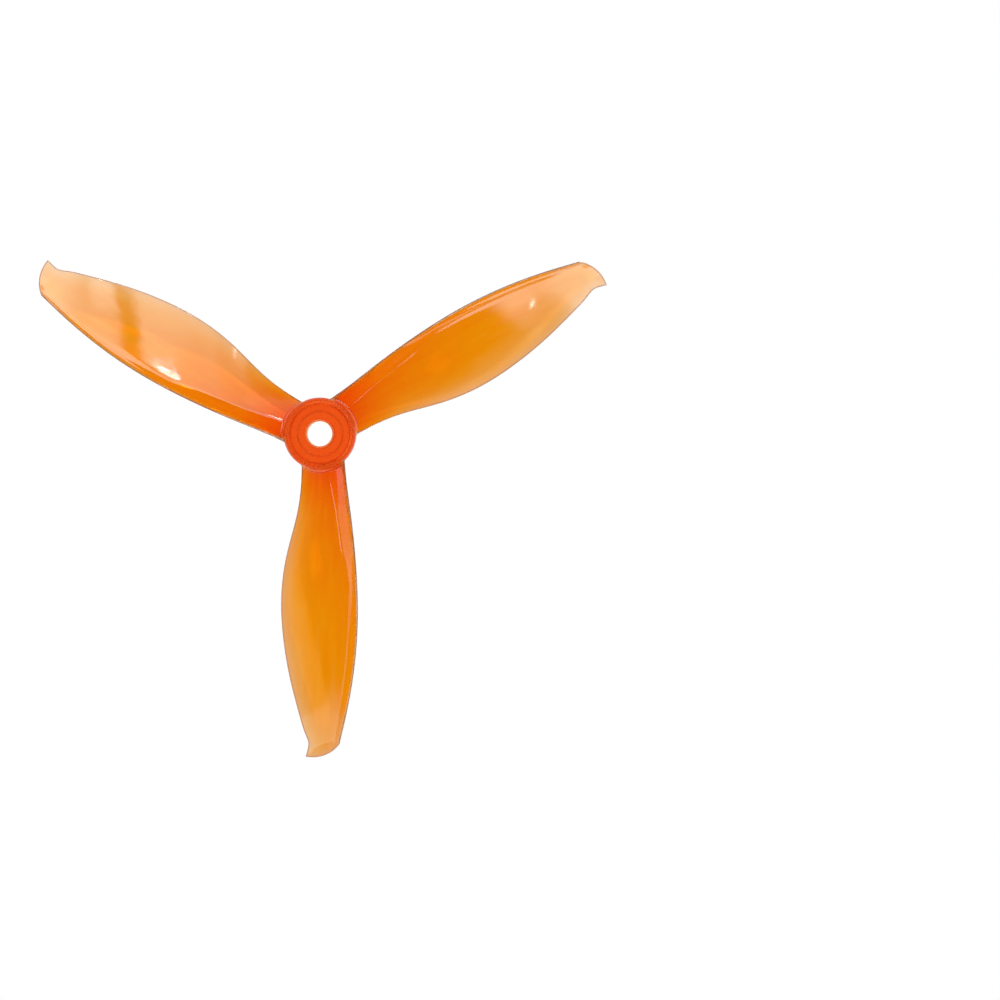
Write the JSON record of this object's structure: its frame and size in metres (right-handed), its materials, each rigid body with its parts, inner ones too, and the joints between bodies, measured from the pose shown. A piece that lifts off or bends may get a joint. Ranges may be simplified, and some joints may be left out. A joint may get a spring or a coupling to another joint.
{
  "type": "propeller",
  "caption": "Multirotor propeller with swept blades on a ring hub, moulded in one piece of clear orange plastic, with a plain bore for a motor shaft.",
  "frame": {"origin": "centre of the bore at the hub's underside, where it sits on the motor", "axes": "+Z along the bore in the direction of thrust, +X along the first blade, from the bore to its tip corner"},
  "size_m": [0.1011, 0.1136, 0.0084],
  "materials": {
    "hub_plastic": "clear orange polycarbonate, thick, moulded gloss",
    "blade_plastic": "clear orange polycarbonate, thin, moulded gloss"
  },
  "bodies": {
    "root": {"bore_sleeve": "hub_plastic", "hub_rim": "hub_plastic", "hub_top_plate": "hub_plastic", "blade_1_root": "hub_plastic", "blade_1": "blade_plastic", "blade_1_tip": "blade_plastic", "blade_2_root": "hub_plastic", "blade_2": "blade_plastic", "blade_2_tip": "blade_plastic", "blade_3_root": "hub_plastic", "blade_3": "blade_plastic", "blade_3_tip": "blade_plastic"}
  },
  "joints": []
}
